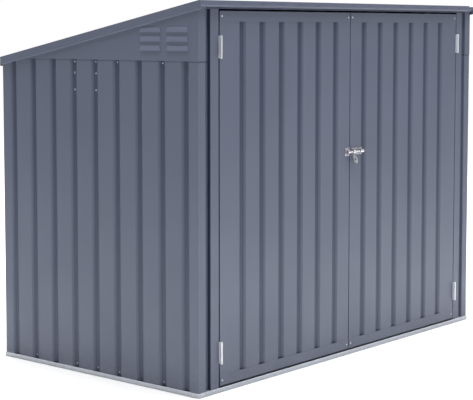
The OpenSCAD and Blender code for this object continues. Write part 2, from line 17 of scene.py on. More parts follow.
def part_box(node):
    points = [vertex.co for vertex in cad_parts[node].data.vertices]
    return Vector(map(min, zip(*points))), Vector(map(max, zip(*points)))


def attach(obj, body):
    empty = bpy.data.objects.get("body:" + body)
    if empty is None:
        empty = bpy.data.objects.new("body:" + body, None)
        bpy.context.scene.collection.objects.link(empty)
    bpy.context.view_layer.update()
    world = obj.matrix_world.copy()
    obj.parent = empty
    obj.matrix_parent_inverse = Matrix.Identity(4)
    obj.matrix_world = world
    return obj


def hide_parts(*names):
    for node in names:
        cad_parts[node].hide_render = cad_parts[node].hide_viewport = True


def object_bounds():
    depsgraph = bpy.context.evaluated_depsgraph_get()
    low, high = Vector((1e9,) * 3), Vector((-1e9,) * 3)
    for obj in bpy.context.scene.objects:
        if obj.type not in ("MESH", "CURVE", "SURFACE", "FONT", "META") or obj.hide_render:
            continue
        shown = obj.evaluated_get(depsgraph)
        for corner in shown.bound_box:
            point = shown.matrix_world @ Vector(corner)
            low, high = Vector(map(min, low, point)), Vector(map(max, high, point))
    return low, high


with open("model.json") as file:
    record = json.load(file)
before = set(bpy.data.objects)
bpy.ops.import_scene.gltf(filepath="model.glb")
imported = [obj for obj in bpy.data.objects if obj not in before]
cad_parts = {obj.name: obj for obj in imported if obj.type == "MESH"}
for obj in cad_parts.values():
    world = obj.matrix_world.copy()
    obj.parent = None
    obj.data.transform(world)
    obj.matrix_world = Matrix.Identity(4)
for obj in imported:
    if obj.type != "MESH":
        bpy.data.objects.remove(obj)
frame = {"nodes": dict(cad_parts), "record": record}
nodes = frame["nodes"]
cad_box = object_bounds()
MM = 0.001
print("CAD box", [round(v, 4) for v in cad_box[0]], [round(v, 4) for v in cad_box[1]])

# %% [markdown]
# ## Where things are
#
# Typed positions would go wrong as soon as the model changes. A piece's place is
# better read from the boxes of the exact pieces, so these few faces are measured once
# and everything else is placed from them.

# %% Measure the main faces
wall_left_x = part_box("side_wall_left")[0].x
wall_right_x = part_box("side_wall_right")[1].x
post_front_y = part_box("front_post_left")[0].y
wall_back_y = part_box("back_wall")[1].y
seam_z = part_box("gable_panel_left")[0].z
roof_top_z = cad_box[1].z
roof_front_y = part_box("roof_trim_front")[0].y
sheet_t = 1.0 * MM
ROOF_FALL = 0.2
ROOF_ANGLE = math.atan(ROOF_FALL)
UNDERLAP_DROP = 4 * MM


def under_roof(y, depth):
    """Height, at a place from front to back, of a plane at a depth under the roof's top."""
    return roof_top_z - ROOF_FALL * (y - roof_front_y) - depth / math.cos(ROOF_ANGLE)


print("Walls from x", round(wall_left_x, 4), "to", round(wall_right_x, 4))
print("Front at y", round(post_front_y, 4), "and back at", round(wall_back_y, 4))

# %% [markdown]
# ## The camera
#
# The store is seen from its left front corner, from a little under eye height and far
# enough away that its uprights stay almost parallel. A long lens gives that. A small
# downward shift of the sensor does the rest of the framing, as on an architect's
# camera, so that the body need not be tipped any further.

# %% Set up the camera
CAMERA_AT = (-4.3868, -3.6294, 1.249)
CAMERA_TURN = math.radians(49.814)
CAMERA_TIP = math.radians(4.617)
CAMERA_LENS = 107.95
CAMERA_SHIFT = -0.12
camera_data = bpy.data.cameras.new("camera")
camera = bpy.data.objects.new("camera", camera_data)
bpy.context.scene.collection.objects.link(camera)
camera.location = CAMERA_AT
camera.rotation_euler = (math.pi / 2 - CAMERA_TIP, 0, -CAMERA_TURN)
camera_data.sensor_width = 36
camera_data.lens = CAMERA_LENS
camera_data.shift_y = CAMERA_SHIFT
camera_data.clip_start = 0.05
bpy.context.scene.camera = camera
print("Camera is", round(camera.location.length, 2), "m from the middle of the store")

# %% [markdown]
# ## Growing node trees
#
# Materials and Geometry Nodes are both trees of nodes. Written out by hand each node
# takes five lines, so one helper adds a node, sets its options and feeds its inputs.
# A fed value may be a plain number or another node's output.

# %% Node helper
def grow(tree, kind, feed=None, **options):
    """Adds a node of a kind to a tree, with its options set and its inputs fed."""
    made = tree.nodes.new(kind)
    made.location = (190 * len(tree.nodes), 0)
    for name, value in options.items():
        setattr(made, name, value)
    for name, value in (feed or {}).items():
        socket = made.inputs[name]
        if isinstance(value, bpy.types.NodeSocket):
            tree.links.new(value, socket)
        else:
            socket.default_value = value
    return made


def sum_of(tree, operation, first, second=0.0):
    """One step of arithmetic in a tree, and its result."""
    kind = "ShaderNodeMath"
    return grow(tree, kind, {0: first, 1: second}, operation=operation).outputs[0]


# %% Material helper
def new_material(name, color, metallic, roughness):
    """A material with a Principled shader, and the tree and shader to build on."""
    material = bpy.data.materials.new(name)
    material.use_nodes = True
    tree = material.node_tree
    shader = tree.nodes["Principled BSDF"]
    shader.inputs["Base Color"].default_value = (*color, 1)
    shader.inputs["Metallic"].default_value = metallic
    shader.inputs["Roughness"].default_value = roughness
    return material, tree, shader


def object_noise(tree, scale, detail):
    """Noise fixed to the piece, with so many grains to the metre."""
    place = grow(tree, "ShaderNodeTexCoord").outputs["Object"]
    feed = {"Vector": place, "Scale": scale, "Detail": detail}
    return grow(tree, "ShaderNodeTexNoise", feed).outputs["Fac"]


def ramp(tree, value, low, high, start=0.0, end=1.0):
    """Spreads a value between low and high over the range from start to end."""
    feed = {"Value": value, "From Min": low, "From Max": high, "To Min": start, "To Max": end}
    return grow(tree, "ShaderNodeMapRange", feed).outputs[0]


def read_attribute(tree, name):
    """The value that a mesh carries under a name, or 0 where it carries none."""
    return grow(tree, "ShaderNodeAttribute", attribute_name=name).outputs["Fac"]


def height_in(tree):
    """Height above the ground, from the piece's own coordinates."""
    place = grow(tree, "ShaderNodeTexCoord").outputs["Object"]
    return grow(tree, "ShaderNodeSeparateXYZ", {0: place}).outputs["Z"]


def blend_colors(tree, factor, first, second):
    """Mixes two colours by a factor."""
    mix = grow(tree, "ShaderNodeMix", {"Factor": factor}, data_type="RGBA")
    for socket, value in ((mix.inputs[6], first), (mix.inputs[7], second)):
        if isinstance(value, bpy.types.NodeSocket):
            tree.links.new(value, socket)
        else:
            socket.default_value = (*value, 1)
    return mix.outputs[2]


# %% [markdown]
# ## The paint
#
# Coil-coated sheet has a thin, even, satin paint. Close to, it is very slightly
# pimpled like orange peel. Wide sheets are never quite flat either, so the gloss
# wanders gently over them. Both are bump maps here, one fine and one broad. A faint
# cloudiness in the colour and a trace of dust near the ground keep it from looking
# like plastic. Deep in a groove, in the gap round a door, on the front trim's drip fold
# and on the header behind it the paint is darker, a painted shade where little light
# reaches. Where the louvre hoods stand proud it is paler, a painted highlight where the
# light from above falls, and under the lap of the gable a thin dark line is a painted
# shadow. Three values that a mesh may carry steer this: how much painted shade a point
# gets, which on a ribbed sheet is how deep it lies in a groove, how much painted
# highlight it gets, and whether the piece has the painted shadow line under the lap.

# %% Satin slate paint
SLATE = (0.140, 0.160, 0.228)
SLATE_PALE = (0.153, 0.174, 0.245)
# Painted shade colour, for grooves, gaps, the front trim's drip fold and the header.
SLATE_SHADED = (0.042, 0.053, 0.096)
# Painted highlight colour, for the louvre hoods.
SLATE_HIGHLIGHT = (0.190, 0.215, 0.298)
DUST = (0.225, 0.235, 0.270)
DUST_TOP = 0.16
DUST_MOST = 0.35
SHADE_MOST = 0.8
# A painted shadow line, just under the lower edge of the gable where it laps the wall.
LAP_SHADOW_W = 2.5 * MM
LAP_SHADOW_Z = seam_z - LAP_SHADOW_W
PAINT_SHINE = 0.35
WAVE_DEPTH = 4 * MM
PEEL_DEPTH = 0.2 * MM


def make_paint():
    """Satin slate paint on steel sheet."""
    material, tree, shader = new_material("satin_slate_paint", SLATE, 0.0, 0.42)
    shader.inputs["Specular IOR Level"].default_value = PAINT_SHINE
    cloud = object_noise(tree, 2.2, 3.0)
    base = blend_colors(tree, ramp(tree, cloud, 0.35, 0.65), SLATE, SLATE_PALE)
    height = height_in(tree)
    low = ramp(tree, height, DUST_TOP, 0.0, 0.0, DUST_MOST)
    speckle = ramp(tree, object_noise(tree, 60.0, 4.0), 0.4, 0.7)
    dusty = sum_of(tree, "MULTIPLY", low, speckle)
    base = blend_colors(tree, dusty, base, DUST)
    # Painted shade: darker with the square of the value that the mesh carries.
    depth = read_attribute(tree, "groove_depth")
    deep = sum_of(tree, "MULTIPLY", sum_of(tree, "MULTIPLY", depth, depth), SHADE_MOST)
    # Painted highlight: paler where the mesh says the sheet stands proud.
    base = blend_colors(tree, read_attribute(tree, "rubbed"), base, SLATE_HIGHLIGHT)
    # Painted shadow: a dark line just under the gable's lap, on pieces that carry it.
    lap = read_attribute(tree, "lap_line")
    off = sum_of(tree, "ABSOLUTE", sum_of(tree, "SUBTRACT", height, LAP_SHADOW_Z))
    near = ramp(tree, off, LAP_SHADOW_W, 0.5 * LAP_SHADOW_W)
    deep = sum_of(tree, "MAXIMUM", deep, sum_of(tree, "MULTIPLY", near, lap))
    tree.links.new(blend_colors(tree, deep, base, SLATE_SHADED), shader.inputs["Base Color"])
    rough = ramp(tree, object_noise(tree, 7.0, 3.0), 0.3, 0.7, 0.38, 0.47)
    tree.links.new(rough, shader.inputs["Roughness"])
    feed = {"Height": object_noise(tree, 3.5, 1.0), "Strength": 0.25, "Distance": WAVE_DEPTH}
    wavy = grow(tree, "ShaderNodeBump", feed).outputs[0]
    feed = {"Height": object_noise(tree, 700.0, 1.0), "Strength": 0.12,
            "Distance": PEEL_DEPTH, "Normal": wavy}
    fine = grow(tree, "ShaderNodeBump", feed)
    tree.links.new(fine.outputs[0], shader.inputs["Normal"])
    return material


paint = make_paint()
print("Made", paint.name)

# %% [markdown]
# ## Bare metals
#
# The base rails are hot-dip galvanised: pale, a little blue, with a crystal pattern
# called spangle. Cells from a Voronoi texture, each with its own shade, give that.
# Rain splashes dirt on them, so they get duller towards the ground. Hinges are bright
# zinc plate, the bolt is polished nickel, and the screws are zinc. These have no
# pattern, only a fine uneven polish. The screws of the walls have weathered.

# %% Galvanised steel
SPLASH_TOP = 15 * MM
SPLASH_FOOT = 3 * MM
SPLASH_MOST = 0.35
SPLASH = (0.22, 0.24, 0.28)
SPANGLES = 120.0
ZINC = (0.60, 0.63, 0.69)
ZINC_DARK = (0.55, 0.58, 0.64)
ZINC_LIGHT = (0.64, 0.67, 0.73)


def make_galvanised():
    """Galvanised steel with a soft spangle, and duller towards the ground."""
    material, tree, shader = new_material("galvanised_steel", ZINC, 0.55, 0.38)
    place = grow(tree, "ShaderNodeTexCoord").outputs["Object"]
    cells = grow(tree, "ShaderNodeTexVoronoi", {"Vector": place, "Scale": SPANGLES})
    shade = grow(tree, "ShaderNodeSeparateColor", {0: cells.outputs["Color"]}).outputs[0]
    color = blend_colors(tree, shade, ZINC_DARK, ZINC_LIGHT)
    splashed = ramp(tree, height_in(tree), SPLASH_TOP, SPLASH_FOOT, 0.0, SPLASH_MOST)
    color = blend_colors(tree, splashed, color, SPLASH)
    tree.links.new(color, shader.inputs["Base Color"])
    rough = ramp(tree, shade, 0.0, 1.0, 0.30, 0.46)
    tree.links.new(rough, shader.inputs["Roughness"])
    feed = {"Height": object_noise(tree, 260.0, 2.0), "Strength": 0.15, "Distance": 0.2 * MM}
    bump = grow(tree, "ShaderNodeBump", feed)
    tree.links.new(bump.outputs[0], shader.inputs["Normal"])
    return material


galvanised = make_galvanised()
print("Made", galvanised.name)


# %% Plated fittings
def make_plating(name, color, dull, metallic, polish, scale):
    """A plated metal whose tone varies a little, and its polish from smooth to rough."""
    smooth, rough = polish
    material, tree, shader = new_material(name, color, metallic, smooth)
    tone = object_noise(tree, scale, 3.0)
    shade = blend_colors(tree, ramp(tree, tone, 0.35, 0.65), color, dull)
    tree.links.new(shade, shader.inputs["Base Color"])
    haze = ramp(tree, object_noise(tree, 3 * scale, 2.0), 0.3, 0.7, smooth, rough)
    tree.links.new(haze, shader.inputs["Roughness"])
    feed = {"Height": object_noise(tree, 20 * scale, 1.0), "Strength": 0.1,
            "Distance": 0.1 * MM}
    bump = grow(tree, "ShaderNodeBump", feed)
    tree.links.new(bump.outputs[0], shader.inputs["Normal"])
    return material


hinge_zinc = make_plating(
    "bright_zinc", (0.93, 0.95, 0.98), (0.87, 0.89, 0.93), 0.2, (0.28, 0.40), 60)
nickel = make_plating(
    "polished_nickel", (0.66, 0.66, 0.70), (0.40, 0.40, 0.43), 1.0, (0.14, 0.26), 80)
screw_zinc = make_plating(
    "zinc_screw", (0.72, 0.74, 0.78), (0.56, 0.58, 0.62), 0.7, (0.28, 0.40), 150)
dull_zinc = make_plating(
    "weathered_zinc", (0.46, 0.49, 0.56), (0.34, 0.37, 0.43), 0.6, (0.38, 0.50), 150)
print("Made", hinge_zinc.name, nickel.name, screw_zinc.name, dull_zinc.name)

# %% Which finish each piece has
FINISHES = {
    "anthracite_paint": paint,
    "galvanised_rail": galvanised,
    "hinge_steel": hinge_zinc,
    "nickel_plate": nickel,
}
slot_of = {part["node"]: part["material_slot"] for part in frame["record"]["subparts"]}
for name, piece in nodes.items():
    piece.data.materials.clear()
    piece.data.materials.append(FINISHES[slot_of[name]])
print("Finished", len(nodes), "exact pieces")

# %% [markdown]
# ## Floor and light
#
# A plain pale floor under a white surround. The light is that of a big soft box hung
# over the store, so the roof and the louvres are brightest, the walls are lit at a
# grazing angle and the floor keeps a soft shadow. The surround is white to the camera
# but sheds no light, or it would flatten the grooves. Away from the lamp the floor
# would turn grey, so there it glows a little for the camera.
#
# Satin paint mirrors what is round it. A white floor under a studio lamp is by far the
# brightest thing there, so the floor glows more in what the paint mirrors than where it
# is seen, a painted reflection that brightens the lower part of the walls, and the
# surround is mirrored greyer. Close to the foot of a wall the floor lies in shade and
# mirrors dark.

# %% Floor
# The glow and the mirrored glow go from a near to a far value over the fade, which is
# in metres from the middle of the store. Nearer to a wall than the foot shade, in
# metres too, the floor mirrors darker.
FLOOR_GLOW = (0.2, 1.0)
FLOOR_MIRROR = (1.3, 0.22)
FLOOR_FADE = (1.2, 5.0)
FOOT_SHADE = 0.38
FLOOR_SIZE = 60
FLOOR_DROP = 0.5 * MM
FLOOR_WHITE = (0.86, 0.86, 0.86)


def past_the_walls(tree, place):
    """How far a point of the floor lies outside the store's walls."""
    parts = grow(tree, "ShaderNodeSeparateXYZ", {0: place}).outputs
    past = [sum_of(tree, "SUBTRACT", sum_of(tree, "ABSOLUTE", parts[axis]), cad_box[1][axis])
            for axis in (0, 1)]
    return sum_of(tree, "MAXIMUM", *past)


def make_floor():
    """A wide pale floor that keeps the shadow and fades into the white surround."""
    bpy.ops.mesh.primitive_plane_add(size=FLOOR_SIZE, location=(0, 0, -FLOOR_DROP))
    floor = bpy.context.active_object
    floor.name = "floor"
    material, tree, shader = new_material("pale_floor", FLOOR_WHITE, 0.0, 0.9)
    path = grow(tree, "ShaderNodeLightPath")
    place = grow(tree, "ShaderNodeTexCoord").outputs["Object"]
    far = grow(tree, "ShaderNodeVectorMath", {0: place}, operation="LENGTH").outputs["Value"]
    lift = ramp(tree, far, *FLOOR_FADE, *FLOOR_GLOW)
    seen = sum_of(tree, "MULTIPLY", path.outputs["Is Camera Ray"], lift)
    open_floor = ramp(tree, past_the_walls(tree, place), 0.0, FOOT_SHADE)
    # Painted reflection: the floor glows only in what is mirrored, fading away from the middle
    # and darker near a wall's foot.
    mirrored = sum_of(tree, "MULTIPLY", ramp(tree, far, *FLOOR_FADE, *FLOOR_MIRROR), open_floor)
    mirrored = sum_of(tree, "MULTIPLY", path.outputs["Is Glossy Ray"], mirrored)
    glow = grow(tree, "ShaderNodeEmission", {"Strength": sum_of(tree, "ADD", seen, mirrored)})
    both = grow(tree, "ShaderNodeAddShader", {0: shader.outputs[0], 1: glow.outputs[0]})
    tree.links.new(both.outputs[0], tree.nodes["Material Output"].inputs["Surface"])
    floor.data.materials.append(material)
    return floor


floor = make_floor()
print("Floor laid")

# %% Surround
SURROUND_MIRROR = 0.64


def make_surround():
    """White where it is seen, greyer where it is mirrored, and no light."""
    world = bpy.data.worlds.new("surround")
    bpy.context.scene.world = world
    world.use_nodes = True
    tree = world.node_tree
    path = grow(tree, "ShaderNodeLightPath")
    seen = sum_of(tree, "MAXIMUM", path.outputs["Is Camera Ray"],
                  path.outputs["Is Transmission Ray"])
    mirrored = sum_of(tree, "MULTIPLY", path.outputs["Is Glossy Ray"], SURROUND_MIRROR)
    power = sum_of(tree, "MAXIMUM", seen, mirrored)
    tree.links.new(power, tree.nodes["Background"].inputs["Strength"])
    tree.nodes["Background"].inputs["Color"].default_value = (1, 1, 1, 1)


make_surround()
bpy.context.scene.view_settings.view_transform = "Standard"
print("Surround mirrored at", SURROUND_MIRROR)


# %% Lamps
def soft_lamp(name, place, target, size, power):
    """A wide soft lamp at a place, turned to a target. Size is its width and height."""
    data = bpy.data.lights.new(name, "AREA")
    data.shape = "RECTANGLE"
    data.size, data.size_y = size
    data.energy = power
    lamp = bpy.data.objects.new(name, data)
    bpy.context.scene.collection.objects.link(lamp)
    lamp.location = place
    lamp.rotation_euler = (Vector(target) - Vector(place)).to_track_quat("-Z", "Y").to_euler()


soft_lamp("top_lamp", (0.0, 0.0, 6.0), (0.0, 0.0, 0.0), (5.0, 5.0), 910)
soft_lamp("right_lamp", (4.0, -2.5, 5.0), (0.0, 0.0, 0.3), (4.0, 4.0), 40)
print("Lamps hung")

# %% [markdown]
# ## Ribbed sheets
#
# The walls, the roof and the doors are cut from the same roll-formed sheet. Rollers
# press the grooves one after another, so every bend comes out a little round. Beveling
# a sharp model could round them, but the grooves follow a plain rule, and a Geometry
# Nodes tree can follow the same rule: lay out the corner points of the section, join
# them to a line, fillet its corners, draw the line up to a sheet and give it
# thickness. The tree also notes how deep in a groove each point lies, for the paint.

# %% Tree for a ribbed sheet
def tree_with(name, **inputs):
    """An empty Geometry Nodes tree with named inputs, and the node that holds them."""
    tree = bpy.data.node_groups.new(name, "GeometryNodeTree")
    kinds = {float: "NodeSocketFloat", int: "NodeSocketInt", str: "NodeSocketMaterial"}
    tree.interface.new_socket("Geometry", in_out="INPUT", socket_type="NodeSocketGeometry")
    tree.interface.new_socket("Geometry", in_out="OUTPUT", socket_type="NodeSocketGeometry")
    for key, value in inputs.items():
        title = key.replace("_", " ").capitalize()
        socket = tree.interface.new_socket(title, in_out="INPUT", socket_type=kinds[type(value)])
        if not isinstance(value, str):
            socket.default_value = value
    return tree, grow(tree, "NodeGroupInput").outputs


def close_tree(tree, geometry, material):
    """Ends a tree: real geometry, with its material."""
    real = grow(tree, "GeometryNodeRealizeInstances", {0: geometry}).outputs[0]
    done = grow(tree, "GeometryNodeSetMaterial", {"Geometry": real, "Material": material})
    grow(tree, "NodeGroupOutput", {"Geometry": done.outputs[0]})


CORNERS_PER_GROOVE = 4


def rib_corner(tree, given, index):
    """Place across the sheet, and depth, of corner number index of the section.

    Corner 0 is the start of the sheet. Each groove then has two corners at its mouth,
    the first and the last of its four, and two at its floor.
    """
    step = sum_of(tree, "SUBTRACT", index, 1)
    corner = sum_of(tree, "MODULO", step, CORNERS_PER_GROOVE)
    groove = sum_of(tree, "FLOOR", sum_of(tree, "DIVIDE", step, CORNERS_PER_GROOVE))
    side = sum_of(tree, "SUBTRACT", corner, 1.5)
    inner = sum_of(tree, "LESS_THAN", sum_of(tree, "ABSOLUTE", side), 1)
    widen = sum_of(tree, "SUBTRACT", given["Floor"], given["Mouth"])
    width = sum_of(tree, "ADD", given["Mouth"], sum_of(tree, "MULTIPLY", widen, inner))
    off = sum_of(tree, "MULTIPLY", sum_of(tree, "MULTIPLY", width, 0.5),
                 sum_of(tree, "SIGN", side))
    middle = sum_of(tree, "ADD", given["First groove"],
                    sum_of(tree, "MULTIPLY", groove, given["Pitch"]))
    return sum_of(tree, "ADD", middle, off), sum_of(tree, "MULTIPLY", inner, given["Depth"])


def pick(tree, test, no, yes):
    """One of two values."""
    feed = {"Switch": test, "False": no, "True": yes}
    return grow(tree, "GeometryNodeSwitch", feed, input_type="FLOAT").outputs[0]


def make_rib_tree():
    """The section: its corner points, joined to a line whose corners are filleted.

    After the grooves comes the end of the flat. Where the sheet has a lowered strip,
    the foot of its step and the end of the strip follow.
    """
    tree, given = tree_with(
        "ribbed_sheet", start=0.0, end=1.0, first_groove=0.1, grooves=3, pitch=0.1,
        mouth=0.03, floor=0.016, depth=0.008, bend_radius=0.003, bend_steps=4,
        thickness=0.001, length=1.0, head_at_start=1.0, head_fall=0.0,
        strip_from=1.0, strip_drop=0.0, material="")
    corners = sum_of(tree, "MULTIPLY", given["Grooves"], CORNERS_PER_GROOVE)
    strip = sum_of(tree, "GREATER_THAN", given["Strip drop"], 0)
    count = sum_of(tree, "ADD", sum_of(tree, "ADD", corners, 2),
                   sum_of(tree, "MULTIPLY", strip, 2))
    points = grow(tree, "GeometryNodeMeshLine", {"Count": count})
    index = grow(tree, "GeometryNodeInputIndex").outputs[0]
    across, deep = rib_corner(tree, given, index)
    past = sum_of(tree, "SUBTRACT", index, corners)
    across = pick(tree, sum_of(tree, "LESS_THAN", index, 0.5), across, given["Start"])
    step_x = sum_of(tree, "ADD", given["Strip from"], given["Strip drop"])
    flat_end = pick(tree, strip, given["End"], given["Strip from"])
    across = pick(tree, sum_of(tree, "GREATER_THAN", past, 0.5), across, flat_end)
    across = pick(tree, sum_of(tree, "GREATER_THAN", past, 1.5), across, step_x)
    across = pick(tree, sum_of(tree, "GREATER_THAN", past, 2.5), across, given["End"])
    deep = pick(tree, sum_of(tree, "GREATER_THAN", past, 0.5), deep, 0.0)
    deep = pick(tree, sum_of(tree, "GREATER_THAN", past, 1.5), deep, given["Strip drop"])
    place = grow(tree, "ShaderNodeCombineXYZ", {"X": across, "Y": deep}).outputs[0]
    feed = {"Geometry": points.outputs[0], "Position": place}
    section = grow(tree, "GeometryNodeSetPosition", feed).outputs[0]
    line = grow(tree, "GeometryNodeMeshToCurve", {0: section}).outputs[0]
    feed = {"Curve": line, "Count": given["Bend steps"], "Radius": given["Bend radius"],
            "Limit Radius": True}
    round_line = grow(tree, "GeometryNodeFilletCurve", feed, mode="POLY").outputs[0]
    edges = grow(tree, "GeometryNodeCurveToMesh", {0: round_line}).outputs[0]
    return tree, given, edges


WELD = 0.02 * MM


def finish_rib_tree():
    """Draws the section up to a sheet, cuts its head to the fall and thickens it."""
    tree, given, edges = make_rib_tree()
    up = grow(tree, "ShaderNodeCombineXYZ", {"Z": 1.0}).outputs[0]
    feed = {"Mesh": edges, "Offset": up, "Offset Scale": given["Length"]}
    sheet = grow(tree, "GeometryNodeExtrudeMesh", feed, mode="EDGES").outputs[0]
    spot = grow(tree, "GeometryNodeInputPosition").outputs[0]
    xyz = grow(tree, "ShaderNodeSeparateXYZ", {0: spot}).outputs
    fall = sum_of(tree, "MULTIPLY", given["Head fall"], xyz["X"])
    head = sum_of(tree, "MINIMUM", given["Length"],
                  sum_of(tree, "SUBTRACT", given["Head at start"], fall))
    top = grow(tree, "ShaderNodeCombineXYZ", {"X": xyz["X"], "Y": xyz["Y"], "Z": head})
    high = sum_of(tree, "GREATER_THAN", xyz["Z"], sum_of(tree, "MULTIPLY", given["Length"], 0.5))
    feed = {"Geometry": sheet, "Selection": high, "Position": top.outputs[0]}
    sheet = grow(tree, "GeometryNodeSetPosition", feed).outputs[0]
    # The share of the groove's depth at each point, which the paint turns into painted shade.
    depth = sum_of(tree, "DIVIDE", xyz["Y"], given["Depth"])
    feed = {"Geometry": sheet, "Name": "groove_depth", "Value": depth}
    sheet = grow(tree, "GeometryNodeStoreNamedAttribute", feed).outputs[0]
    face = grow(tree, "GeometryNodeFlipFaces", {"Mesh": sheet}).outputs[0]
    feed = {"Mesh": sheet, "Offset Scale": given["Thickness"], "Individual": False}
    back = grow(tree, "GeometryNodeExtrudeMesh", feed).outputs[0]
    both = grow(tree, "GeometryNodeJoinGeometry")
    tree.links.new(back, both.inputs[0])
    tree.links.new(face, both.inputs[0])
    feed = {"Geometry": both.outputs[0], "Distance": WELD}
    whole = grow(tree, "GeometryNodeMergeByDistance", feed).outputs[0]
    smooth = grow(tree, "GeometryNodeSetShadeSmooth", {0: whole}).outputs[0]
    close_tree(tree, smooth, given["Material"])
    return tree


rib_tree = finish_rib_tree()
print("Ribbed sheet tree has", len(rib_tree.nodes), "nodes")


# %% Growing a mesh with a tree
def grown_mesh(name, tree, settings, start=None):
    """Runs a tree with the settings by name, and returns its result as a plain object."""
    holder = bpy.data.objects.new(name + "_holder", start or bpy.data.meshes.new(name))
    modifier = holder.modifiers.new("grow", "NODES")
    modifier.node_group = tree
    for item in tree.interface.items_tree:
        if item.in_out == "INPUT" and item.name in settings:
            modifier[item.identifier] = settings[item.name]
    bpy.context.scene.collection.objects.link(holder)
    graph = bpy.context.evaluated_depsgraph_get()
    mesh = bpy.data.meshes.new_from_object(holder.evaluated_get(graph))
    bpy.data.objects.remove(holder)
    piece = bpy.data.objects.new(name, mesh)
    bpy.context.scene.collection.objects.link(piece)
    return piece


def flatten_normals(piece, angle):
    """Edges over the angle stay sharp, bends shade round and wide flats shade flat."""
    mesh = piece.data
    mesh.polygons.foreach_set("use_smooth", [True] * len(mesh.polygons))
    mesh.set_sharp_from_angle(angle=math.radians(angle))
    weigh = piece.modifiers.new("weigh", "WEIGHTED_NORMAL")
    weigh.weight = 100
    weigh.keep_sharp = True
    graph = bpy.context.evaluated_depsgraph_get()
    mesh = bpy.data.meshes.new_from_object(piece.evaluated_get(graph))
    piece.modifiers.clear()
    piece.data = mesh


# %% [markdown]
# The tree draws every sheet standing up, with its face towards -Y. A matrix then puts
# it where its exact piece is: a wall is turned to its side, and the roof is laid back
# onto its slope.

# %% Ribbed sheets in place
RIB_PITCH = 108.5 * MM
RIB_SHARP = 35
# A head that starts higher than any sheet reaches, and so cuts nothing off.
UNCUT = 2.0
RIB = {
    "Pitch": RIB_PITCH, "Mouth": 36 * MM, "Floor": 15 * MM, "Depth": 8 * MM,
    "Bend radius": 3 * MM, "Bend steps": 4, "Thickness": sheet_t, "Material": paint,
}


def spread_first(start, end, margin):
    """First groove and number of grooves, spread about the middle of a sheet."""
    count = math.floor((end - start - 2 * margin) / RIB_PITCH) + 1
    return (start + end) / 2 - (count - 1) / 2 * RIB_PITCH, count


def ribbed_piece(node, body, place, settings):
    """A ribbed sheet that stands for an exact piece."""
    piece = grown_mesh(node + "_sheet", rib_tree, {**RIB, **settings})
    piece.data.transform(place)
    if place.determinant() < 0:
        piece.data.flip_normals()
    flatten_normals(piece, RIB_SHARP)
    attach(piece, body)
    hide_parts(node)
    return piece


FLATS_UNDER = 3 * MM


def side_sheet(node, sign, face_x, drop):
    """A side wall, with its top cut to the fall of the roof that lies on it."""
    low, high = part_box(node)
    head = under_roof(post_front_y, FLATS_UNDER + sheet_t + drop)
    first, count = spread_first(post_front_y, wall_back_y, RIB_PITCH / 2)
    depth = wall_back_y - post_front_y
    settings = {
        "Start": sheet_t, "End": depth, "First groove": first - post_front_y,
        "Grooves": count, "Length": high.z - low.z,
        "Head at start": head - low.z, "Head fall": ROOF_FALL,
    }
    # Across the sheet runs back along Y, and into a groove runs towards the inside.
    turn = Matrix(((0, sign, 0, face_x), (1, 0, 0, post_front_y), (0, 0, 1, low.z), (0, 0, 0, 1)))
    return ribbed_piece(node, "store", turn, settings)


left_wall = side_sheet("side_wall_left", 1, wall_left_x, 0.0)
right_wall = side_sheet("side_wall_right", -1, wall_right_x, UNDERLAP_DROP)
print("Side walls stand")


# %% The back wall
def back_sheet(node):
    """The back wall, whose level top stays under the roof."""
    low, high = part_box(node)
    first, count = spread_first(wall_left_x, wall_right_x, RIB_PITCH / 2)
    settings = {
        "Start": low.x, "End": high.x, "First groove": first, "Grooves": count,
        "Length": high.z - low.z, "Head at start": UNCUT,
    }
    turn = Matrix(((1, 0, 0, 0), (0, -1, 0, wall_back_y), (0, 0, 1, low.z), (0, 0, 0, 1)))
    return ribbed_piece(node, "store", turn, settings)


back_sheet("back_wall")
print("Back wall stands")


# %% The doors
DOOR_RIB_START = 121 * MM
DOOR_RIBS = 6


def door_sheet(node, body, sign, hinge_edge):
    """A door's sheet, with its grooves set out from the hinged edge."""
    low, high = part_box(node)
    settings = {
        "Start": 0.0, "End": high.x - low.x, "First groove": DOOR_RIB_START,
        "Grooves": DOOR_RIBS, "Length": high.z - low.z, "Head at start": UNCUT,
    }
    turn = Matrix(((sign, 0, 0, hinge_edge), (0, 1, 0, low.y), (0, 0, 1, low.z), (0, 0, 0, 1)))
    return ribbed_piece(node, body, turn, settings)


door_sheet("left_door_panel", "left_door", 1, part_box("left_door_panel")[0].x)
door_sheet("right_door_panel", "right_door", -1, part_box("right_door_panel")[1].x)
print("Door sheets hang")


# %% The roof sheet
UNDERLAP_W = 24 * MM


def roof_sheet(node):
    """The roof, ribbed down its slope, with the lowered strip along its right edge."""
    low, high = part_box(node)
    first, count = spread_first(wall_left_x, wall_right_x, RIB_PITCH / 2)
    strip = wall_right_x - UNDERLAP_W - UNDERLAP_DROP
    settings = {
        "Start": low.x, "End": high.x, "First groove": first, "Grooves": count,
        "Length": (high.y - low.y) / math.cos(ROOF_ANGLE), "Head at start": UNCUT,
        "Strip from": strip, "Strip drop": UNDERLAP_DROP,
    }
    lay = Matrix(((1, 0, 0, 0), (0, 0, 1, 0), (0, -1, 0, 0), (0, 0, 0, 1)))
    tip = Matrix.Rotation(-ROOF_ANGLE, 4, "X")
    front = Matrix.Translation((0, low.y, high.z))
    return ribbed_piece(node, "store", front @ tip @ lay, settings)


roof_sheet("roof_sheet")
print("Roof sheet lies")

# %% [markdown]
# ## Folded pieces
#
# Posts, jambs, trims, rails and the door frames are bent on a press brake, which can
# only leave a round bend. Its outside is about as round as the sheet is thick twice
# over, and its inside is tighter. The cut edges of the sheet stay square. So a copy of
# the exact piece is cleaned of its drawing triangles, and only an edge between two
# wide faces is taken for a bend and beveled. A thin line of light on every corner is
# what makes folded steel look like steel.

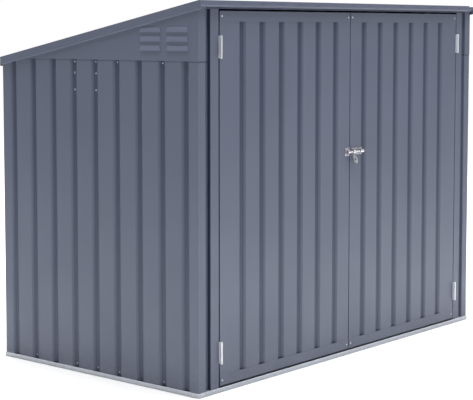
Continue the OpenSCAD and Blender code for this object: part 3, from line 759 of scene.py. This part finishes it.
# %% Rounding the bends
OUTER_BEND = 2.0 * MM
INNER_BEND = 1.0 * MM
BEND_STEPS = 6
BEND_SHARP = 100 / BEND_STEPS
LEAST_TURN = math.radians(20)
SAME_PLACE = 0.002 * MM
SAME_FLAT = math.radians(0.5)


def plain_copy(node):
    """The exact piece as one clean mesh: shared corners merged, flat faces whole."""
    work = bmesh.new()
    work.from_mesh(nodes[node].data)
    bmesh.ops.remove_doubles(work, verts=work.verts, dist=SAME_PLACE)
    bmesh.ops.dissolve_limit(work, angle_limit=SAME_FLAT, verts=work.verts, edges=work.edges)
    return work


def face_width(face):
    """About how wide a long face is."""
    return 2 * face.calc_area() / face.calc_perimeter()


def bends(work, outward, least_width):
    """Edges between two wide faces that turn outward, or inward."""
    found = []
    for edge in work.edges:
        if len(edge.link_faces) != 2:
            continue
        turn = edge.calc_face_angle_signed()
        wide = min(face_width(face) for face in edge.link_faces) > least_width
        if wide and abs(turn) > LEAST_TURN and (turn > 0) == outward:
            found.append(edge)
    return found


def bevel(work, edges, radius, steps):
    """Rounds edges of a mesh that is being worked on."""
    bmesh.ops.bevel(
        work, geom=edges, offset=radius, offset_type="OFFSET", segments=steps,
        profile=0.5, affect="EDGES", clamp_overlap=True)


def stand_in(node, body, work, ending, sharp):
    """Ends the work on a copy, which then stands for its exact piece."""
    mesh = bpy.data.meshes.new(node + ending)
    work.to_mesh(mesh)
    work.free()
    mesh.materials.append(FINISHES[slot_of[node]])
    piece = bpy.data.objects.new(node + ending, mesh)
    bpy.context.scene.collection.objects.link(piece)
    flatten_normals(piece, sharp)
    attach(piece, body)
    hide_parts(node)
    return piece


def rounded_copy(node, body, press=None):
    """Stands for an exact piece, with its bends rounded outside and inside."""
    work = plain_copy(node)
    for outward, radius in ((True, OUTER_BEND), (False, INNER_BEND)):
        edges = bends(work, outward, OUTER_BEND)
        if edges:
            bevel(work, edges, radius, BEND_STEPS)
    if press:
        press(work)
    return stand_in(node, body, work, "_round", BEND_SHARP)


def note_values(piece, name, value_at):
    """Writes on each corner of a mesh the value that the rule gives for its place."""
    layer = piece.data.attributes.new(name, "FLOAT", "POINT")
    for corner in piece.data.vertices:
        layer.data[corner.index].value = value_at(corner.co)


def clamp(value):
    """Keeps a value between 0 and 1."""
    return max(0.0, min(1.0, value))


# %% Fold the pieces of the store
FOLDED = {
    "store": [
        "base_rail_front", "base_rail_left", "base_rail_right", "base_rail_back",
        "front_post_left", "front_post_right", "door_jamb_left", "door_jamb_right",
        "rear_post_left", "rear_post_right", "wall_top_rail_left", "wall_top_rail_right",
        "back_top_rail", "door_header",
        "roof_trim_front", "roof_trim_back", "roof_trim_left", "roof_trim_right",
    ],
    "left_door": [
        "left_door_top_rail", "left_door_bottom_rail",
        "left_door_hinge_stile", "left_door_meeting_stile",
    ],
    "right_door": [
        "right_door_top_rail", "right_door_bottom_rail",
        "right_door_hinge_stile", "right_door_meeting_stile",
    ],
}
folded = {}
for body, names in FOLDED.items():
    for name in names:
        folded[name] = rounded_copy(name, body)
print("Folded", len(folded), "pieces")

# %% [markdown]
# ## Louvres
#
# A louvre is pressed out of the gable by a punch with a rounded nose. Its hood starts
# steep at the top, where it catches the light, and ends nearly upright over the slot.
# The exact hoods are flat, so rings are cut round them and set on a quarter of an
# ellipse.

# %% Press the louvres
LOUVRE_H = 18 * MM
LOUVRE_OUT = 6 * MM
LOUVRE_SHOW = 3.2 * MM
LOUVRE_RINGS = (0.92, 0.8, 0.6, 0.35)
TINY = 0.1 * MM
HIGHLIGHT_FADE = 0.5 * MM
# How high on a hood a corner may be to be moved, in shares of the hood's height.
HOOD_FROM = -0.01
HOOD_TO = 0.99


def press_louvres(work, face_x):
    """Rounds the hoods that stand out from the face of a gable."""
    sign = math.copysign(1, face_x)

    def out(corner):
        return sign * (corner.co.x - face_x)

    lips = {round(corner.co.z, 4) for corner in work.verts if out(corner) > LOUVRE_OUT - TINY}
    for lip in sorted(lips):
        for share in LOUVRE_RINGS:
            hood = [face for face in work.faces
                    if lip - TINY < face.calc_center_median().z < lip + LOUVRE_H
                    and max(out(corner) for corner in face.verts) > 3 * TINY]
            # A dictionary keeps its order, where a set would change it from run to run.
            edges = dict.fromkeys(edge for face in hood for edge in face.edges)
            corners = dict.fromkeys(corner for face in hood for corner in face.verts)
            bmesh.ops.bisect_plane(
                work, geom=[*hood, *edges, *corners], dist=0.001 * MM,
                plane_co=(0, 0, lip + share * LOUVRE_H), plane_no=(0, 0, 1))
        for corner in work.verts:
            share = (corner.co.z - lip) / LOUVRE_H
            if HOOD_FROM < share < HOOD_TO and out(corner) > TINY:
                # A flat hood is 1 - share out, and an ellipse the root of 1 - share squared.
                share = max(0.0, share)
                fuller = math.sqrt(1 - share * share) / (1 - share)
                corner.co.x = face_x + sign * out(corner) * fuller * LOUVRE_SHOW / LOUVRE_OUT


for side, sign in (("left", -1), ("right", 1)):
    name = "gable_panel_" + side
    face_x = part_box(name)[sign > 0].x - sign * LOUVRE_OUT
    folded[name] = rounded_copy(name, "store", lambda work: press_louvres(work, face_x))
    # The hoods get a painted highlight, fuller the further they stand out from the face.
    note_values(folded[name], "rubbed",
                lambda place: clamp((sign * (place.x - face_x) - TINY) / HIGHLIGHT_FADE))
    print(name, "has", len(folded[name].data.polygons), "faces")

# %% Painted shade in the gaps and painted shadow under the lap
# Painted shade on the faces that lie back in the gaps round the doors, from a little behind the
# front.
GAP_EDGE = 0.4 * MM
GAP_FADE = 1.5 * MM
GAP_SHADE = 1.1
POST_SHADE = {"left": 0.5, "right": 0.2}
# How strong the painted shadow line under the gable's lap is, on the front posts and on the
# walls.
LAP_SHADOW_ON_POST = 0.9
LAP_SHADOW_ON_WALL = 0.35
for side in ("left", "right"):
    gaps = ((side + "_door_hinge_stile", GAP_SHADE), ("door_jamb_" + side, GAP_SHADE),
            ("front_post_" + side, POST_SHADE[side]))
    for name, most in gaps:
        note_values(folded[name], "groove_depth",
                    lambda place: most * clamp((place.y - post_front_y - GAP_EDGE) / GAP_FADE))
    note_values(folded["front_post_" + side], "lap_line", lambda place: LAP_SHADOW_ON_POST)
for wall in (left_wall, right_wall):
    note_values(wall, "lap_line", lambda place: LAP_SHADOW_ON_WALL)
# The drip fold of the front trim, and the header behind it, get painted shade, as they lie under
# the trim.
DRIP_H = 5.5 * MM
UNDER_TRIM_SHADE = 0.75
drip_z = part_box("roof_trim_front")[0].z + DRIP_H
note_values(folded["roof_trim_front"], "groove_depth",
            lambda place: UNDER_TRIM_SHADE if place.z < drip_z else 0.0)
note_values(folded["door_header"], "groove_depth", lambda place: GAP_SHADE)
print("Gaps darkened from", round(GAP_EDGE / MM, 1), "mm behind the front")

# %% [markdown]
# ## Fittings
#
# Hinges, bolt, guides and handle are stamped and turned, and then tumbled and plated,
# which takes the edge off every corner. A small bevel all round does that. A corner
# counts when it is sharper than any step round a pin or a knuckle, so the round parts
# stay whole.

# %% Soften the fittings
CORNER = math.radians(50)
FITTING_STEPS = 2
FITTING_SHARP = 46


def softened_copy(node, body, radius):
    """Stands for an exact fitting, with a small round on each of its corners."""
    work = plain_copy(node)
    edges = [edge for edge in work.edges
             if len(edge.link_faces) == 2 and edge.calc_face_angle() > CORNER]
    bevel(work, edges, radius, FITTING_STEPS)
    return stand_in(node, body, work, "_soft", FITTING_SHARP)


# The body that each fitting is on, and the radius of its corners in millimetres.
FITTINGS = {
    "left_jamb_hinge_leaves": ("store", 0.25), "right_jamb_hinge_leaves": ("store", 0.25),
    "left_door_hinge_leaves": ("left_door", 0.25),
    "right_door_hinge_leaves": ("right_door", 0.25),
    "bolt_keep": ("left_door", 0.5), "bolt_plate": ("right_door", 0.5),
    "bolt_rod": ("bolt", 0.8), "bolt_handle": ("handle", 0.6),
}
for name, (body, radius) in FITTINGS.items():
    piece = softened_copy(name, body, radius * MM)
    print(name, "has", len(piece.data.polygons), "faces")

# %% [markdown]
# ## Screws and rivets
#
# The panels are held with small pan-head screws in the bottoms of the grooves, and the
# base rails with pop rivets. All heads are the same low dome, and a screw has a cross
# recess. So one head is made by a rule, from a cone whose rings are set on a dome and
# a cross that is cut out of it, and a tree puts a copy on every point of a holder.
# Each point carries the way that its head faces. A fixed seed turns the crosses at
# random, as a hand would leave them.

# %% Tree for fastener heads
# The cross recess is measured in radii of the head.
HEAD_SIDES = 12
HEAD_RINGS = 3
HEAD_FLAT = 0.3
DOME_POWER = 2.5
CROSS_LONG = 1.1
CROSS_THIN = 0.25


def make_head_tree():
    """One domed head, set on every point of a holder."""
    tree, given = tree_with(
        "fastener_heads", head_radius=0.0036, head_height=0.0022, recess=0.0012,
        seed=7, material="")
    radius = given["Head radius"]
    high = given["Head height"]
    feed = {"Vertices": HEAD_SIDES, "Side Segments": HEAD_RINGS, "Radius Bottom": radius,
            "Depth": high, "Radius Top": sum_of(tree, "MULTIPLY", radius, HEAD_FLAT)}
    cone = grow(tree, "GeometryNodeMeshCone", feed).outputs["Mesh"]
    spot = grow(tree, "GeometryNodeInputPosition").outputs[0]
    xyz = grow(tree, "ShaderNodeSeparateXYZ", {0: spot}).outputs
    flat = grow(tree, "ShaderNodeCombineXYZ", {"X": xyz["X"], "Y": xyz["Y"]}).outputs[0]
    out = grow(tree, "ShaderNodeVectorMath", {0: flat}, operation="LENGTH").outputs["Value"]
    share = sum_of(tree, "DIVIDE", out, radius)
    fall = sum_of(tree, "SUBTRACT", 1.0, sum_of(tree, "POWER", share, DOME_POWER))
    rise = sum_of(tree, "MULTIPLY", high, sum_of(tree, "SQRT", sum_of(tree, "MAXIMUM", fall, 0)))
    place = grow(tree, "ShaderNodeCombineXYZ", {"X": xyz["X"], "Y": xyz["Y"], "Z": rise})
    feed = {"Geometry": cone, "Position": place.outputs[0]}
    dome = grow(tree, "GeometryNodeSetPosition", feed).outputs[0]
    long = sum_of(tree, "MULTIPLY", radius, CROSS_LONG)
    thin = sum_of(tree, "MULTIPLY", radius, CROSS_THIN)
    deep = sum_of(tree, "MULTIPLY", given["Recess"], 2)
    top = grow(tree, "ShaderNodeCombineXYZ", {"Z": high}).outputs[0]
    cut = grow(tree, "GeometryNodeMeshBoolean", {"Mesh 1": dome}, operation="DIFFERENCE")
    for across, along in ((long, thin), (thin, long)):
        bar = grow(tree, "ShaderNodeCombineXYZ", {"X": across, "Y": along, "Z": deep})
        cube = grow(tree, "GeometryNodeMeshCube", {"Size": bar.outputs[0]}).outputs[0]
        moved = grow(tree, "GeometryNodeTransform", {"Geometry": cube, "Translation": top})
        tree.links.new(moved.outputs[0], cut.inputs["Mesh 2"])
    test = sum_of(tree, "GREATER_THAN", given["Recess"], 0)
    feed = {"Switch": test, "False": dome, "True": cut.outputs[0]}
    head = grow(tree, "GeometryNodeSwitch", feed, input_type="GEOMETRY").outputs[0]
    return tree, given, head


def finish_head_tree():
    """Faces every head outward, gives it a random turn and makes it real."""
    tree, given, head = make_head_tree()
    facing = grow(tree, "GeometryNodeInputNamedAttribute", {"Name": "facing"},
                  data_type="FLOAT_VECTOR").outputs["Attribute"]
    outward = grow(tree, "FunctionNodeAlignRotationToVector", {"Vector": facing}, axis="Z")
    feed = {2: 0.0, 3: math.tau, "Seed": given["Seed"]}
    turn = grow(tree, "FunctionNodeRandomValue", feed, data_type="FLOAT").outputs[1]
    feed = {"Axis": (0, 0, 1), "Angle": turn}
    spin = grow(tree, "FunctionNodeAxisAngleToRotation", feed).outputs[0]
    feed = {"Rotation": outward.outputs[0], "Rotate By": spin}
    both = grow(tree, "FunctionNodeRotateRotation", feed, rotation_space="LOCAL").outputs[0]
    feed = {"Points": given["Geometry"], "Instance": head, "Rotation": both}
    heads = grow(tree, "GeometryNodeInstanceOnPoints", feed).outputs[0]
    close_tree(tree, heads, given["Material"])
    return tree


head_tree = finish_head_tree()
print("Fastener tree has", len(head_tree.nodes), "nodes")


# %% Setting a row of heads
HEAD_SHARP = 40
SCREW = {"Head radius": 3.6 * MM, "Head height": 2.0 * MM, "Recess": 1.2 * MM,
         "Seed": 7, "Material": screw_zinc}
WALL_SCREW = dict(SCREW, Material=dull_zinc)
RIVET = {"Head radius": 3.2 * MM, "Head height": 1.2 * MM, "Recess": 0.0,
         "Seed": 3, "Material": screw_zinc}


def fasteners(name, body, kind, spots):
    """Heads at the spots. Each spot is a place and the way that the head faces."""
    start = bpy.data.meshes.new(name)
    start.from_pydata([place for place, facing in spots], [], [])
    layer = start.attributes.new("facing", "FLOAT_VECTOR", "POINT")
    for item, (place, facing) in zip(layer.data, spots):
        item.vector = facing
    piece = grown_mesh(name, head_tree, kind, start)
    flatten_normals(piece, HEAD_SHARP)
    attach(piece, body)
    print(name, "has", len(spots), "heads and", len(piece.data.polygons), "faces")


# %% [markdown]
# Screws stand in the grooves, where a driver has room and the sheet lies against what
# is behind it. The rows are set out groove by groove from the front: one along the
# top rail and one along the base rail, and a few more where the louvred gable is
# joined to the wall.

# %% Wall screws
# The height of each row, and which grooves have a screw there.
SIDE_ROWS = (
    (1133 * MM, (1, 3, 4, 5)), (1091 * MM, (4, 5)), (1031 * MM, (4, 5)),
    (29 * MM, (1, 3, 4, 5, 7)),
)
BACK_ROWS = ((1095 * MM, range(0, 16, 2)), (29 * MM, range(0, 16, 2)))
groove_floor = RIB["Depth"]
side_first = spread_first(post_front_y, wall_back_y, RIB_PITCH / 2)[0]
back_first = spread_first(wall_left_x, wall_right_x, RIB_PITCH / 2)[0]
wall_spots = []
for z, grooves in SIDE_ROWS:
    for groove in grooves:
        y = side_first + groove * RIB_PITCH
        wall_spots.append(((wall_left_x + groove_floor, y, z), (-1, 0, 0)))
        wall_spots.append(((wall_right_x - groove_floor, y, z), (1, 0, 0)))
for z, grooves in BACK_ROWS:
    for groove in grooves:
        x = back_first + groove * RIB_PITCH
        wall_spots.append(((x, wall_back_y - groove_floor, z), (0, 1, 0)))
fasteners("wall_screws", "store", WALL_SCREW, wall_spots)

# %% Rivets of the base rails
RIVET_IN = 25 * MM
front_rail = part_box("base_rail_front")
rail_mid_z = front_rail[1].z / 2
rail_spots = []
for sign in (-1, 1):
    side_x = sign * front_rail[1].x
    for y, facing in ((front_rail[0].y, -1), (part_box("base_rail_back")[1].y, 1)):
        rail_spots.append(((side_x - sign * RIVET_IN, y, rail_mid_z), (0, facing, 0)))
        rail_spots.append(((side_x, y - facing * RIVET_IN, rail_mid_z), (sign, 0, 0)))
fasteners("rail_rivets", "store", RIVET, rail_spots)

# %% Door screws
DOOR_SCREW_IN = 11 * MM
DOOR_SCREW_UP = 18 * MM
for side in ("left", "right"):
    spots = []
    for end, edge in (("top", 1), ("bottom", 0)):
        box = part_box(side + "_door_" + end + "_rail")
        z = box[edge].z + (1 - 2 * edge) * DOOR_SCREW_UP
        for x in (box[0].x + DOOR_SCREW_IN, box[1].x - DOOR_SCREW_IN):
            spots.append(((x, box[0].y, z), (0, -1, 0)))
    fasteners(side + "_door_screws", side + "_door", SCREW, spots)

# %% Hinge pins and leaf screws
PIN_HEAD = {"Head radius": 2.6 * MM, "Head height": 1.4 * MM, "Recess": 0.0,
            "Seed": 5, "Material": hinge_zinc}
LEAF_SCREW = {"Head radius": 3.2 * MM, "Head height": 0.35 * MM, "Recess": 0.3 * MM,
              "Seed": 11, "Material": screw_zinc}
HINGE_H = 76 * MM
LEAF_SCREW_STEP = 25 * MM
LEAF_SCREW_IN = 8 * MM
LEAF_T = 1.5 * MM
for side, sign in (("left", -1), ("right", 1)):
    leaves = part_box(side + "_jamb_hinge_leaves")
    pin_x = (leaves[0].x + leaves[1].x) / 2
    pin_y = leaves[0].y + (leaves[1].x - leaves[0].x) / 2
    screw_y = leaves[1].y - LEAF_SCREW_IN
    pins = []
    jamb_screws = []
    door_screws = []
    jamb_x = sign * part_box("door_jamb_right")[0].x - sign * LEAF_T
    door_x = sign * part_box("right_door_panel")[1].x + sign * LEAF_T
    for low_z in (leaves[0].z, leaves[1].z - HINGE_H):
        pins.append(((pin_x, pin_y, low_z + HINGE_H), (0, 0, 1)))
        pins.append(((pin_x, pin_y, low_z), (0, 0, -1)))
        for step in (-1, 0, 1):
            z = low_z + HINGE_H / 2 + step * LEAF_SCREW_STEP
            jamb_screws.append(((jamb_x, screw_y, z), (-sign, 0, 0)))
            door_screws.append(((door_x, screw_y, z), (sign, 0, 0)))
    fasteners(side + "_hinge_pin_heads", "store", PIN_HEAD, pins)
    fasteners(side + "_jamb_leaf_screws", "store", LEAF_SCREW, jamb_screws)
    fasteners(side + "_door_leaf_screws", side + "_door", LEAF_SCREW, door_screws)

# %% Rivets of the latch
LATCH_RIVET = {"Head radius": 2.0 * MM, "Head height": 0.9 * MM, "Recess": 0.0,
               "Seed": 2, "Material": nickel}
PLATE_T = 2 * MM
RIVET_FROM_END = 4 * MM
RIVET_FROM_EDGE = 3.3 * MM
for name, body in (("bolt_plate", "right_door"), ("bolt_keep", "left_door")):
    low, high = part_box(name)
    spots = []
    for x in (low.x + RIVET_FROM_END, high.x - RIVET_FROM_END):
        for z in (low.z + RIVET_FROM_EDGE, high.z - RIVET_FROM_EDGE):
            spots.append(((x, high.y - PLATE_T, z), (0, -1, 0)))
    fasteners(name + "_rivets", body, LATCH_RIVET, spots)
